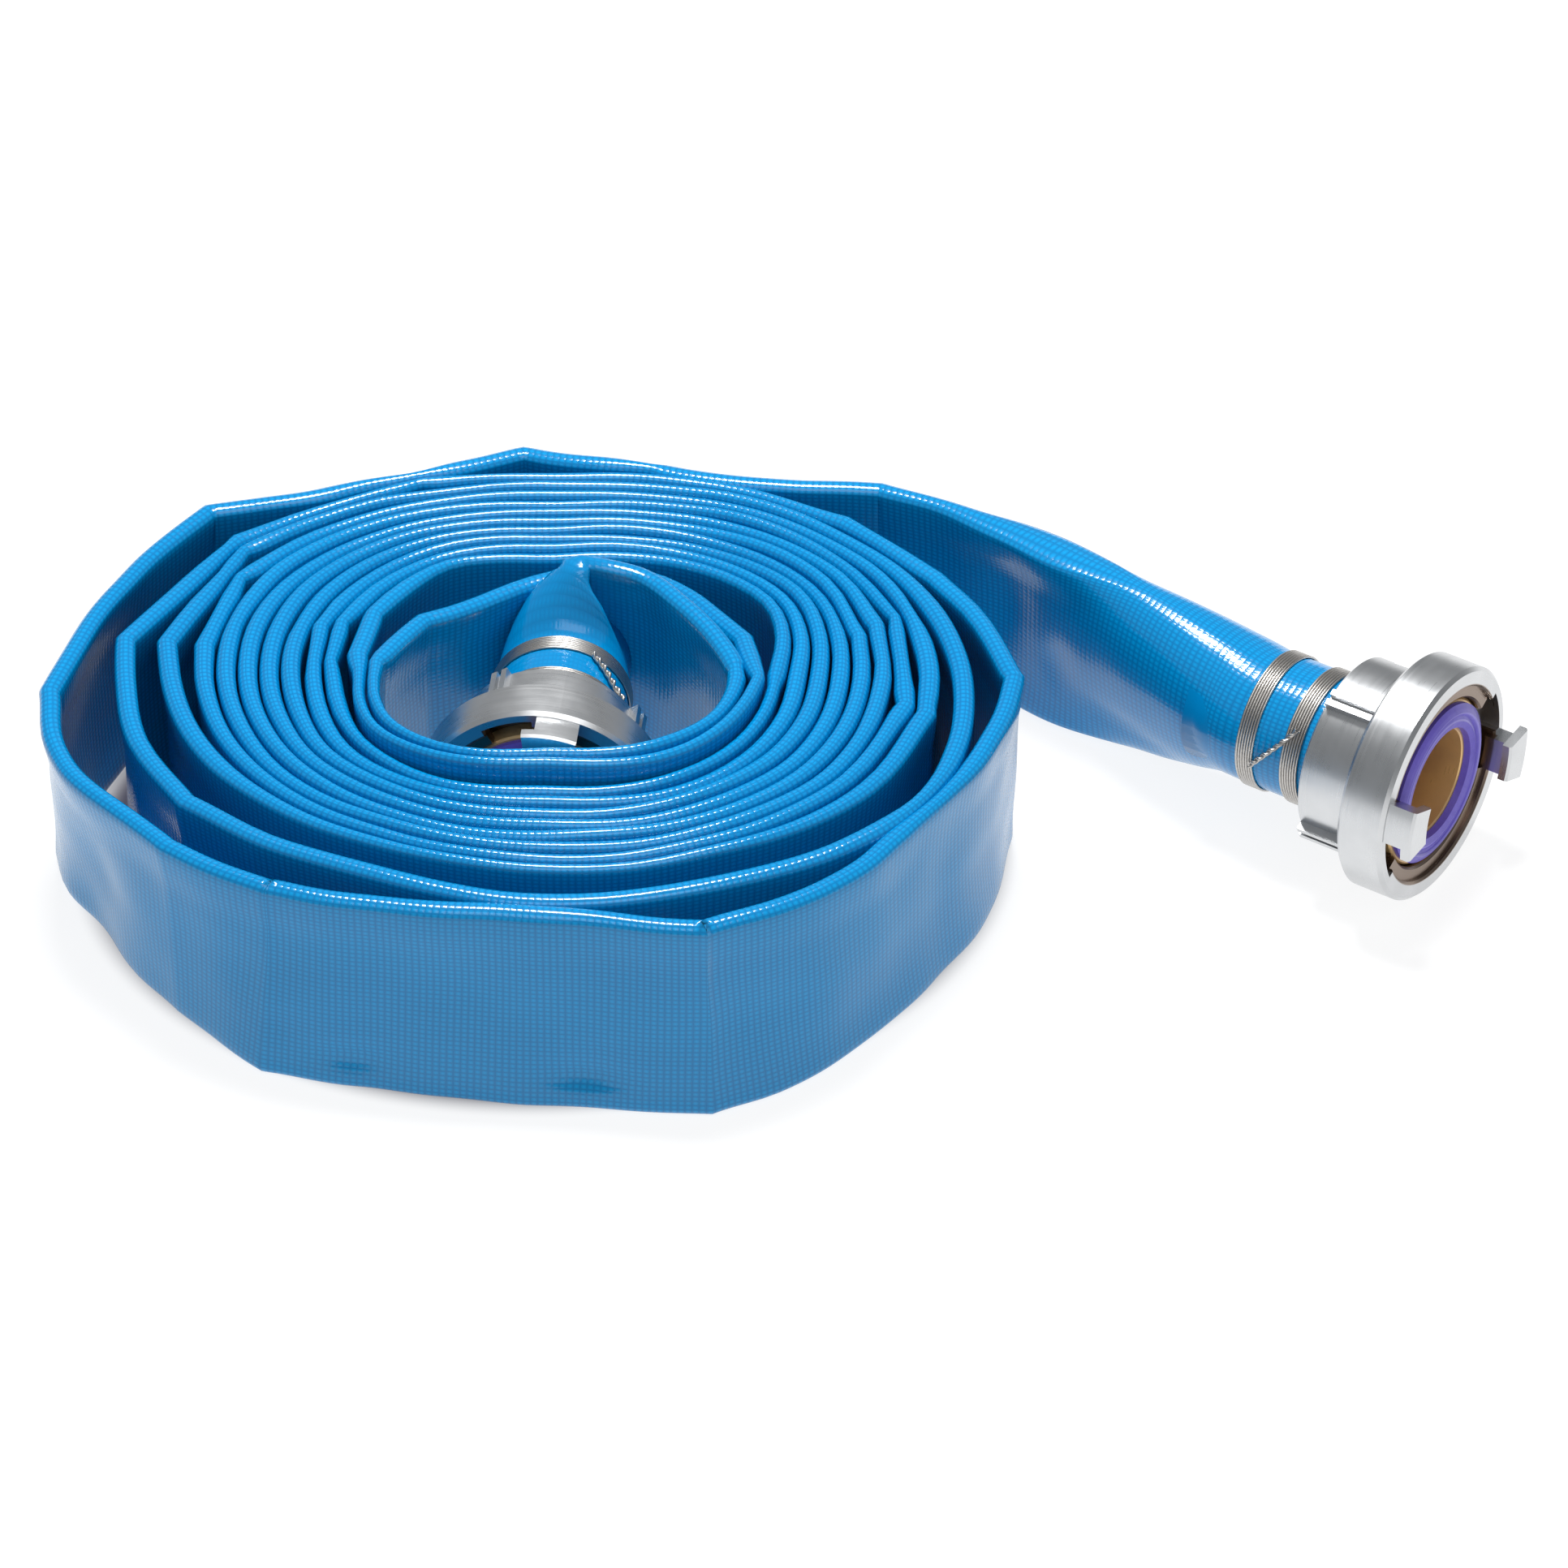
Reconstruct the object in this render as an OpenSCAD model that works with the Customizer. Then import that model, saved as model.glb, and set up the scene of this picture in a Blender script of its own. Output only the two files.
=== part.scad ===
// Lay-flat fire hose wound on edge into a loose roll, with a claw coupling at each end.
// Millimetres, +Z up. The roll and the rims of both lug rings stand on Z = 0.

/* [Hose] */
// Width of the hose when it lies flat, which is the height of the roll
hose_width = 85; // [80:0.5:92]
// Thickness of the pressed hose where its neighbours leave it room
hose_thickness = 7; // [5.5:0.1:8.5]
// Clear space kept between neighbouring turns
turn_gap = 0.8; // [0.6:0.1:1.2]
// How far the innermost turns stand off the floor at the front
inner_lift = 9; // [0:0.5:12]
// Wall of the woven jacket where it is bound to the coupling
jacket_wall = 1.1; // [0.9:0.1:1.6]
// Wall of the rubber lining
lining_wall = 0.8; // [0.6:0.1:1.4]

/* [Coupling] */
// Diameter of the waterway
bore_d = 44; // [40:0.5:46]
// Outer diameter of the spigot that the hose is bound on
spigot_d = 50.8; // [48:0.2:61]
// Outer diameter of the lug ring
lug_ring_d = 98; // [96:0.5:118]
// Length of the wide front part of the lug ring
rim_len = 20; // [16:0.5:24]
// Length of the whole lug ring without its claws
lug_ring_len = 44; // [40:0.5:53]
// Distance between the inner faces of the two claws
claw_distance = 66; // [60:0.5:79]
// How far a claw stands out from the face of the lug ring
claw_reach = 12; // [10:0.5:14.5]
// Width of a claw's stem, measured round the ring
claw_width = 17; // [13:0.5:18]
// Distance from the face of the lug ring to the rear end of the spigot
spigot_end = 80; // [76:0.5:96]
// Play on the radius between the lug ring and the hose tail
running_play = 0.05; // [0.02:0.01:0.1]

/* [Binding] */
// Diameter of the binding wire
wire_d = 0.9; // [0.7:0.1:1.2]
// Clear space between neighbouring turns of wire
wire_gap = 0.45; // [0.42:0.01:0.6]
// Turns of wire in one band
wire_turns = 6; // [4:1:7]

/* [Hidden] */

// Radii of the coupling, from the waterway outward
bore_r = bore_d / 2;
spigot_r = spigot_d / 2;
sleeve_fit = 0.1;
lining_in_r = spigot_r + sleeve_fit;
lining_r = lining_in_r + lining_wall;
jacket_in_r = lining_r + sleeve_fit;
jacket_r = jacket_in_r + jacket_wall;
wire_r = wire_d / 2;
collar_r = jacket_r + 3.5;
skirt_r = collar_r + 3;
flange_r = collar_r + 4;
rear_r = skirt_r + 4;
ring_r = lug_ring_d / 2;
recess_r = ring_r - 8;
claw_in_r = claw_distance / 2;
claw_out_r = ring_r - 2;
claw_stem_r = claw_out_r - 8;

// Depths behind the face of the lug ring
flange_front = 4;
flange_back = 12;
bore_back = rim_len + 12;
snap_depth = bore_back + 0.3;
snap_width = 2;
collar_back = snap_depth + snap_width + 3;
sleeve_front = lug_ring_len + 1;
sleeve_back = spigot_end + 2;
band_width = wire_turns * (wire_d + wire_gap) + wire_d;
front_band = sleeve_front + 5 + band_width / 2;
rear_band = spigot_end - 1 - band_width / 2;
edge = 1.5;
part_gap = 0.3;

// Where each coupling stands: middle of its face in plan, bearing from +X, clock of its claws
outer_place = [361, -13.4];
outer_bearing = -34;
outer_claws = -12.5;
inner_place = [6.5, -31.5];
inner_bearing = -95;
inner_claws = 80;
function is_outer(end) = end == "outer";
function face_of(end) = concat(is_outer(end) ? outer_place : inner_place, ring_r);
function bearing_of(end) = is_outer(end) ? outer_bearing : inner_bearing;
function claws_of(end) = is_outer(end) ? outer_claws : inner_claws;
function heading(bearing) = [cos(bearing), sin(bearing)];
function behind(end, depth) =
    (is_outer(end) ? outer_place : inner_place) - depth * heading(bearing_of(end));

// The winding: how far its middle line lies beyond a tight winding round the inner lug ring,
// every 30 degrees clockwise from +X as seen from above
roll_centre = [10, 12];
knots_per_turn = 12;
turn_1 = [24, 24, 18.5, 11.7, 18, 23, 18.5, 11, 8, 18, 26, 26];
turn_2 = [24.5, 23.5, 18, 11.2, 16.4, 21.5, 19, 23, 30, 24, 34, 43];
turn_3 = [26, 23, 17.5, 11, 16, 20.5, 21.5, 27, 29.5, 23.5, 33.5, 42.5];
turn_9 = [34, 29, 17.3, 11.2, 12, 22.5, 31, 35, 26, 18.5, 29, 40.5];
turn_10 = [37, 31, 17, 10.6, 11.4, 24, 37, 38, 25.5, 18, 28.5, 41];
turn_11 = [43, 46, 29, 22, 21, 39, 48, 40, 25, 17.5, 28, 43];
// The outermost turn has real corners, so it is given every 15 degrees
turn_12 = [
    51.5, 51, 47.5, 50, 54, 47, 33, 34, 46, 52, 58, 65, 65, 51, 49, 40, 25.6, 23, 23, 21.6
];
function slack_of(turn) =
    turn == 1 ? turn_1 :
    turn == 2 ? turn_2 :
    turn == 10 ? turn_10 :
    turn == 11 ? turn_11 :
    turn_3 + (turn_9 - turn_3) * (turn - 3) / 6;
full_turns = 11;
function tight_radius(turn) = ring_r + (turn - 1) * hose_thickness;
knots = [
    for (turn = [1:full_turns], k = [0:knots_per_turn - 1])
        tight_radius(turn) + slack_of(turn)[k]
];
outer_knots = [for (slack = turn_12) tight_radius(full_turns + 1) + slack];

// The rings of the winding, 24 to a turn, with a smooth curve through the knots
rings_per_turn = 2 * knots_per_turn;
ring_step = 360 / rings_per_turn;
first_outer = full_turns * rings_per_turn;
ring_count = first_outer + len(turn_12);
function knot(k) =
    k < 0 ? knots[0] :
    k < len(knots) ? knots[k] :
    outer_knots[2 * (k - len(knots))];
function between(k) = (9 * (knot(k) + knot(k + 1)) - knot(k - 1) - knot(k + 2)) / 16;
function radius_of(i) =
    i >= first_outer ? outer_knots[i - first_outer] :
    i % 2 == 0 ? knot(i / 2) :
    between((i - 1) / 2);
radii = [for (i = [0:ring_count - 1]) radius_of(i)];
roll_path = [
    for (i = [0:ring_count - 1])
        roll_centre + radii[i] * [cos(ring_step * i), -sin(ring_step * i)]
];

// The hose is as thick as its neighbours leave room for
function room_at(i) = min(
    i < rings_per_turn ? 99 : radii[i] - radii[i - rings_per_turn],
    i + rings_per_turn >= ring_count ? 99 : radii[i + rings_per_turn] - radii[i]
);
function thickness_at(i) = min(hose_thickness, 0.97 * room_at(i) - turn_gap);
function lift_at(i) =
    inner_lift * (0.5 + 0.5 * sin(ring_step * i)) * max(0, min(1, 2.2 - i / rings_per_turn));

// The free stretch at the outer end: where it bends off the roll, then how far along its
// straight part it is and how round it has become, from 0 for pressed to 1 for round
outer_bend = [[98, 152.5], [120, 148.5], [140, 138.5]];
outer_shape = [[0.2, 0.01], [0.38, 0.1], [0.54, 0.26], [0.7, 0.49], [0.84, 0.76], [0.95, 0.97]];
// The folded stretch behind the inner coupling: X, Y, height of its middle, how round it is
inner_route = [
    [14.4, 59, 53.5, 0.64], [17, 65, 55.5, 0.25], [22, 70.5, 55.5, 0], [31, 71.5, 54, 0],
    [44, 68.5, 52, 0], [62, 50, 50.5, 0], [77, 28, 48, 0]
];

function unit(v) = v / norm(v);
function left_of(v) = [-v[1], v[0]];
function half_height(roundness) = hose_width / 2 + (jacket_r - hose_width / 2) * roundness;
// Half the thickness of the hose: pressed flat, or with the girth of the round cuff
function half_width(roundness, high = 0) =
    let (opened = sqrt(max(0, 2 * jacket_r * jacket_r - high * high)))
        roundness > 0 ? max(hose_thickness / 2, opened) : hose_thickness / 2;

// Closed tube through rings of n corners, each ring clockwise as seen along the tube
function tube_faces(count, n) = concat(
    [for (j = [0:count - 2], i = [0:n - 1]) [j * n + i, (j + 1) * n + i, j * n + (i + 1) % n]],
    [for (j = [0:count - 2], i = [0:n - 1])
        [j * n + (i + 1) % n, (j + 1) * n + i, (j + 1) * n + (i + 1) % n]],
    [for (i = [1:n - 2]) [0, i, i + 1]],
    [for (i = [1:n - 2]) [(count - 1) * n, (count - 1) * n + i + 1, (count - 1) * n + i]]
);
module tube(rings) {
    n = len(rings[0]);
    polyhedron([for (ring = rings) each ring], tube_faces(len(rings), n));
}

// Pressed section with a flat foot and a narrow back
back_height = 3;
function pressed_ring(at, across, foot, thickness) =
    let (shoulder = hose_width - back_height, top = hose_width)
        [for (p = [[-0.4, 0], [0.4, 0], [0.5, shoulder], [0.25, top], [-0.25, top],
            [-0.5, shoulder]])
            concat(at + across * p[0] * thickness, foot + p[1])];

// Section between pressed and round, with a flat foot
soft_sides = 12;
function soft_ring(at, across, middle, roundness) =
    let (
        high = half_height(roundness),
        wide = half_width(roundness, high),
        turn = 180 / soft_sides
    )
        [for (i = [0:soft_sides - 1])
            let (a = 2 * turn * i - turn)
                concat(at + across * wide * cos(a) / cos(turn), middle + high * sin(a) / cos(turn))];

// Direction of a route at one of its points
function way(route, i) =
    let (before = route[max(i - 1, 0)], after = route[min(i + 1, len(route) - 1)])
        unit([after[0] - before[0], after[1] - before[1]]);

roll_rings = [
    for (i = [0:ring_count - 1])
        pressed_ring(roll_path[i], left_of(way(roll_path, i)), lift_at(i), thickness_at(i))
];

// Least gap between the walls of neighbouring turns, measured from corners to wall lines
function to_line(p, a, b) =
    let (u = unit(b - a), t = max(0, min(norm(b - a), (p - a) * u)))
        norm(p - a - t * u);
function wall_at(i, side) =
    roll_path[i] + side * thickness_at(i) / 2 * left_of(way(roll_path, i));
turn_gaps = [
    for (
        i = [rings_per_turn + 2:ring_count - 1],
        j = [i - rings_per_turn - 2:i - rings_per_turn + 1]
    )
        to_line(wall_at(i, -1), wall_at(j, 1), wall_at(j + 1, 1))
];
echo(least_gap_between_hose_turns = min(turn_gaps));

// Extent in plan, which puts the origin under the middle of the object
claw_side = heading(outer_bearing + 90);
claw_tip = behind("outer", -claw_reach) + (claw_out_r - 1) * claw_side;
plan_x = concat([claw_tip[0]], [for (ring = roll_rings, p = ring) p[0]]);
plan_y = [for (ring = roll_rings, p = ring) p[1]];
origin_shift = [-(min(plan_x) + max(plan_x)) / 2, -(min(plan_y) + max(plan_y)) / 2, 0];
echo(origin_shift = origin_shift);
echo(outer_face = face_of("outer") + origin_shift, inner_face = face_of("inner") + origin_shift);

module hose_roll() {
    color("deepskyblue")
        translate(origin_shift)
            tube(roll_rings);
}

module outer_run() {
    last = roll_path[ring_count - 1];
    leave = way(roll_path, ring_count - 1);
    bend_end = outer_bend[len(outer_bend) - 1];
    cuff = behind("outer", sleeve_back + part_gap);
    route = concat(
        [concat(last + leave * part_gap, 0)],
        [for (p = outer_bend) concat(p, 0)],
        [for (p = outer_shape) concat(bend_end + (cuff - bend_end) * p[0], p[1])],
        [concat(cuff, 1)]
    );
    count = len(route);
    color("deepskyblue")
        translate(origin_shift)
            tube([
                for (i = [0:count - 1])
                    let (
                        roundness = route[i][2],
                        middle = hose_width / 2 + (ring_r - hose_width / 2) * roundness,
                        dir = i == 0 ? leave :
                            i == count - 1 ? heading(outer_bearing) :
                            way(route, i)
                    )
                        soft_ring([route[i][0], route[i][1]], left_of(dir), middle, roundness)
            ]);
}

module inner_run() {
    cuff = behind("inner", sleeve_back + part_gap);
    leave = way(roll_path, 0);
    route = concat(
        [concat(cuff, ring_r, 1)],
        inner_route,
        [concat(roll_path[0] - leave * part_gap, lift_at(0) + hose_width / 2, 0)]
    );
    count = len(route);
    color("deepskyblue")
        translate(origin_shift)
            tube([
                for (i = [0:count - 1])
                    let (
                        dir = i == 0 ? -heading(inner_bearing) :
                            i == count - 1 ? leave :
                            way(route, i)
                    )
                        soft_ring([route[i][0], route[i][1]], left_of(dir), route[i][2],
                            route[i][3])
            ]);
}

// The coupling's own frame: face in the XY plane, nose along +Z, +Y up
module at_coupling(end) {
    translate(origin_shift + face_of(end))
        rotate([90, 0, bearing_of(end) + 90])
            children();
}

// Plain sleeve that lies round the spigot
module sleeve(end, inner_r, outer_r) {
    at_coupling(end)
        translate([0, 0, -sleeve_back])
            difference() {
                cylinder(h = sleeve_back - sleeve_front, r = outer_r, $fn = 96);
                translate([0, 0, -1])
                    cylinder(h = sleeve_back, r = inner_r, $fn = 96);
            }
}

module lining_sleeve(end) {
    color("dimgray")
        sleeve(end, lining_in_r, lining_r);
}

module jacket_cuff(end) {
    color("deepskyblue")
        sleeve(end, jacket_in_r, jacket_r);
}

// Hose tail: barbed spigot, collar with the retaining ring's groove, flange, seal groove
barb_rise = 0.7;
barb_step = 6;
barb_count = floor((spigot_end - sleeve_front - 2) / barb_step);
barbs = [
    for (k = [0:barb_count - 1])
        let (z = -spigot_end + 2 + barb_step * k)
            each [[spigot_r - barb_rise, z], [spigot_r, z + 4], [spigot_r, z + 4.8]]
];
groove_r = collar_r - 1.6;
seal_in_r = spigot_r + 0.4;
seal_out_r = flange_r - 2.5;
seal_depth = flange_back - 2.5;
module hose_tail(end) {
    color("goldenrod")
        at_coupling(end)
            rotate_extrude($fn = 96)
                polygon(concat(
                    [[bore_r, -spigot_end], [spigot_r - barb_rise, -spigot_end]],
                    barbs,
                    [
                        [spigot_r, -sleeve_front + 0.5], [jacket_r - 1, -sleeve_front + 1.5],
                        [collar_r, -collar_back], [collar_r, -snap_depth - snap_width - 0.1],
                        [groove_r, -snap_depth - snap_width - 0.1],
                        [groove_r, -snap_depth + 0.1], [collar_r, -snap_depth + 0.1],
                        [collar_r, -flange_back], [flange_r, -flange_back],
                        [flange_r, -flange_front - 0.8], [flange_r - 0.8, -flange_front],
                        [seal_out_r, -flange_front], [seal_out_r, -seal_depth],
                        [seal_in_r, -seal_depth], [seal_in_r, -flange_front],
                        [bore_r + 0.5, -flange_front], [bore_r, -flange_front - 0.5]
                    ]
                ));
}

// Seal: a foot in the tail's groove and a wide lip that stands proud of the flange
module face_seal(end) {
    foot_in = seal_in_r + sleeve_fit;
    foot_out = seal_out_r - sleeve_fit;
    lip_back = flange_front - sleeve_fit;
    color("slateblue")
        at_coupling(end)
            rotate_extrude($fn = 96)
                polygon([
                    [foot_in, -seal_depth + sleeve_fit], [foot_out, -seal_depth + sleeve_fit],
                    [foot_out, -lip_back], [foot_out + 1.1, -lip_back],
                    [foot_out + 1.1, -lip_back + 2], [foot_out - 0.7, -0.8],
                    [foot_out - 2.4, 0], [foot_out - 3.4, -0.9], [foot_in + 2.4, -1.2],
                    [foot_in + 0.4, -0.4], [bore_r + 1.6, -1.2], [bore_r + 1.2, -lip_back],
                    [foot_in, -lip_back]
                ]);
}

// Open ring that keeps the lug ring on the tail
module retaining_ring(end) {
    opening = 24;
    color("gray")
        at_coupling(end)
            rotate([0, 0, 90 + opening / 2])
                rotate_extrude(angle = 360 - opening, $fn = 96)
                    translate([groove_r + 0.1, -snap_depth - snap_width])
                        square([skirt_r - groove_r - 0.8, snap_width]);
}

// Double rib for a coupling spanner, standing on the rear of the lug ring
module spanner_rib() {
    width = 7;
    height = 3.5;
    slot = 2;
    difference() {
        translate([rear_r - 2, -width / 2, -lug_ring_len + 1])
            cube([height + 2, width, lug_ring_len - rim_len]);
        translate([rear_r + 1, -slot / 2, -lug_ring_len])
            cube([height, slot, lug_ring_len]);
    }
}

// Stem and hooked head of one claw; the head reaches further on the side of the window
function arc_for(width, r) = width / r * 180 / PI;
module claw() {
    head_width = claw_width + 5;
    head_back = claw_reach - 4;
    rotate([0, 0, -arc_for(claw_width, claw_out_r) / 2]) {
        rotate_extrude(angle = arc_for(claw_width, claw_out_r), $fn = 96)
            polygon([
                [claw_stem_r, -3], [claw_out_r, -3], [claw_out_r, claw_reach - 1],
                [claw_out_r - 1, claw_reach], [claw_stem_r, claw_reach]
            ]);
        rotate_extrude(angle = arc_for(head_width, claw_out_r), $fn = 96)
            polygon([
                [claw_in_r, head_back], [claw_out_r, head_back],
                [claw_out_r, claw_reach - 1], [claw_out_r - 1, claw_reach],
                [claw_in_r + 1, claw_reach], [claw_in_r, claw_reach - 1]
            ]);
    }
}

// Opening in the rim beside a claw, through which the other coupling's claw goes in
window_start = 13;
window_arc = 27;
window_depth = 11;
module claw_window() {
    rotate([0, 0, window_start])
        rotate_extrude(angle = window_arc, $fn = 96)
            translate([recess_r - 1, -window_depth])
                square([4.5, window_depth + 2]);
}

// Ledge with a rising back, behind which the other coupling's claw locks
module ledge() {
    ledge_arc = 180 - window_start - window_arc - 10;
    ledge_in = flange_r + 0.6;
    rotate([0, 0, window_start + window_arc])
        rotate_extrude(angle = ledge_arc, $fn = 96)
            polygon([
                [ledge_in, -6.5], [ledge_in, -3], [ledge_in + 0.8, -2], [recess_r + 1, -2],
                [recess_r + 1, -7.5]
            ]);
}

module lug_ring_body() {
    bore = collar_r + running_play;
    rotate_extrude($fn = 96)
        polygon([
            [bore, -flange_back - 0.1], [bore, -bore_back], [skirt_r, -bore_back],
            [skirt_r, -lug_ring_len + 0.5], [skirt_r + 0.5, -lug_ring_len],
            [rear_r - 0.8, -lug_ring_len], [rear_r, -lug_ring_len + 0.8],
            [rear_r, -rim_len - edge], [rear_r + edge, -rim_len],
            [ring_r - edge, -rim_len], [ring_r, -rim_len + edge], [ring_r, -edge],
            [ring_r - edge, 0], [recess_r + 0.8, 0], [recess_r, -0.8],
            [recess_r, -flange_back - 0.1]
        ]);
}

module lug_ring(end) {
    rib_clock = 39;
    color("silver")
        at_coupling(end)
            rotate([0, 0, claws_of(end)]) {
                difference() {
                    lug_ring_body();
                    for (side = [0, 180])
                        rotate([0, 0, side]) claw_window();
                }
                for (side = [0, 180])
                    rotate([0, 0, side]) {
                        claw();
                        ledge();
                    }
                for (side = [0:90:270])
                    rotate([0, 0, rib_clock + side]) spanner_rib();
            }
}

// One band of binding wire: an unbroken wire wound round the cuff
wire_rings = 20;
wire_sides = 4;
wire_pitch = wire_d + wire_gap;
wire_lie_r = (jacket_r + wire_r + 0.05) / cos(180 / wire_rings);
echo(least_gap_between_wire_turns = wire_pitch - wire_d);
module binding(end, depth) {
    steps = wire_turns * wire_rings;
    start_clock = 150;
    color("darkgray")
        at_coupling(end)
            tube([
                for (i = [0:steps])
                    let (
                        a = start_clock + 360 * i / wire_rings,
                        z = wire_pitch * wire_turns * (i / steps - 0.5) - depth,
                        out = [cos(a), sin(a), 0]
                    )
                        [for (k = [0:wire_sides - 1])
                            let (b = -360 * k / wire_sides)
                                (wire_lie_r + wire_r * cos(b)) * out
                                    + [0, 0, z + wire_r * sin(b)]]
            ]);
}

// The two ends of the wire, twisted together across the gap between the bands
module binding_twist(end) {
    stations = 18;
    sides = 6;
    half_turns = 5;
    clock = is_outer(end) ? 162 : 55;
    arc = 34;
    lie_r = jacket_r + wire_d + 0.1;
    length = rear_band - front_band - band_width - 2 * wire_d;
    middle = (front_band + rear_band) / 2;
    slope = atan2(lie_r * arc * PI / 180, length);
    color("darkgray")
        at_coupling(end)
            tube([
                for (i = [0:stations])
                    let (
                        f = i / stations - 0.5,
                        a = clock - arc * f,
                        out = [cos(a), sin(a), 0],
                        round_way = [-sin(a), cos(a), 0],
                        side = cos(slope) * round_way + [0, 0, sin(slope)],
                        twist = 180 * half_turns * f
                    )
                        [for (k = [0:sides - 1])
                            let (
                                b = 360 * k / sides,
                                wide = wire_d * cos(b),
                                thin = 0.7 * wire_r * sin(b)
                            )
                                lie_r * out + [0, 0, length * f - middle]
                                    + (wide * cos(twist) - thin * sin(twist)) * out
                                    + (wide * sin(twist) + thin * cos(twist)) * side]
            ]);
}

module outer_lug_ring() { lug_ring("outer"); }
module outer_hose_tail() { hose_tail("outer"); }
module outer_face_seal() { face_seal("outer"); }
module outer_retaining_ring() { retaining_ring("outer"); }
module outer_lining_sleeve() { lining_sleeve("outer"); }
module outer_jacket_cuff() { jacket_cuff("outer"); }
module outer_rear_binding() { binding("outer", rear_band); }
module outer_front_binding() { binding("outer", front_band); }
module outer_binding_twist() { binding_twist("outer"); }
module inner_lug_ring() { lug_ring("inner"); }
module inner_hose_tail() { hose_tail("inner"); }
module inner_face_seal() { face_seal("inner"); }
module inner_retaining_ring() { retaining_ring("inner"); }
module inner_lining_sleeve() { lining_sleeve("inner"); }
module inner_jacket_cuff() { jacket_cuff("inner"); }
module inner_rear_binding() { binding("inner", rear_band); }
module inner_front_binding() { binding("inner", front_band); }
module inner_binding_twist() { binding_twist("inner"); }

hose_roll();
outer_run();
inner_run();
outer_lug_ring();
outer_hose_tail();
outer_face_seal();
outer_retaining_ring();
outer_lining_sleeve();
outer_jacket_cuff();
outer_rear_binding();
outer_front_binding();
outer_binding_twist();
inner_lug_ring();
inner_hose_tail();
inner_face_seal();
inner_retaining_ring();
inner_lining_sleeve();
inner_jacket_cuff();
inner_rear_binding();
inner_front_binding();
inner_binding_twist();
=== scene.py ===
import math

import bmesh
import bpy
from mathutils import Matrix, Vector, noise


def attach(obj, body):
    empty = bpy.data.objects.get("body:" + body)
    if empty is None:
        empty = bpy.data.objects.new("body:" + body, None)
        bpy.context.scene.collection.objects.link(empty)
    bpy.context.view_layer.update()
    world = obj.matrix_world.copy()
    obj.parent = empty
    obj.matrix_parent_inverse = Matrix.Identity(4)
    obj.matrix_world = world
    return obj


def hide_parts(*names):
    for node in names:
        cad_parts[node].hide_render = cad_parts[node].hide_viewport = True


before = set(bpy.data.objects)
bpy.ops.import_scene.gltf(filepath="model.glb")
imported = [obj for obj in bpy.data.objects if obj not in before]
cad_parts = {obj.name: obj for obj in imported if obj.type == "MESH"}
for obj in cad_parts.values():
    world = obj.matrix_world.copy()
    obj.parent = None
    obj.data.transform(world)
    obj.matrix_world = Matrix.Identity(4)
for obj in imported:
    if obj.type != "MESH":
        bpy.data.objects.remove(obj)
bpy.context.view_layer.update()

# ---------------------------------------------------------------------------------------------
# The camera. It stands three metres in front of the roll with a long lens, well above the
# floor, so that the turns show as narrow ovals.
# ---------------------------------------------------------------------------------------------
look_at = Vector((-0.0041, 0.04805, 0.0))
camera_distance = 3.0
camera_rise = math.radians(37.5)


def stand(name, data):
    """Put a camera, a lamp or a mesh into the scene as an object."""
    made = bpy.data.objects.new(name, data)
    bpy.context.scene.collection.objects.link(made)
    return made


camera_data = bpy.data.cameras.new("camera")
camera_data.lens = 170.5
camera_data.sensor_width = 36.0
camera_data.clip_end = 50.0
camera = stand("camera", camera_data)
camera.location = look_at + camera_distance * Vector(
    (0.0, -math.cos(camera_rise), math.sin(camera_rise))
)
camera.rotation_euler = (math.pi / 2 - camera_rise, 0.0, 0.0)
bpy.context.scene.camera = camera

# ---------------------------------------------------------------------------------------------
# The room. A white table glows, with painted shade where it glows less under the roll, with a
# dim room round it, one soft box overhead and a little behind, and a wide weak one in front.
# ---------------------------------------------------------------------------------------------
bpy.context.scene.view_settings.view_transform = "Standard"
room = bpy.data.worlds.new("room")
room.use_nodes = True
room_light = room.node_tree.nodes["Background"].inputs
room_light["Color"].default_value = (0.94, 0.97, 1.0, 1.0)
room_light["Strength"].default_value = 0.27
bpy.context.scene.world = room


class Signal:
    """A value that changes over a surface, on which Python's own operators work."""

    def __init__(self, finish, socket):
        self.finish = finish
        self.socket = socket

    def __add__(self, other):
        return self.finish.maths("ADD", self, other)

    def __sub__(self, other):
        return self.finish.maths("SUBTRACT", self, other)

    def __rsub__(self, other):
        return self.finish.maths("SUBTRACT", other, self)

    def __mul__(self, other):
        return self.finish.maths("MULTIPLY", self, other)

    __radd__ = __add__
    __rmul__ = __mul__


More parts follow.
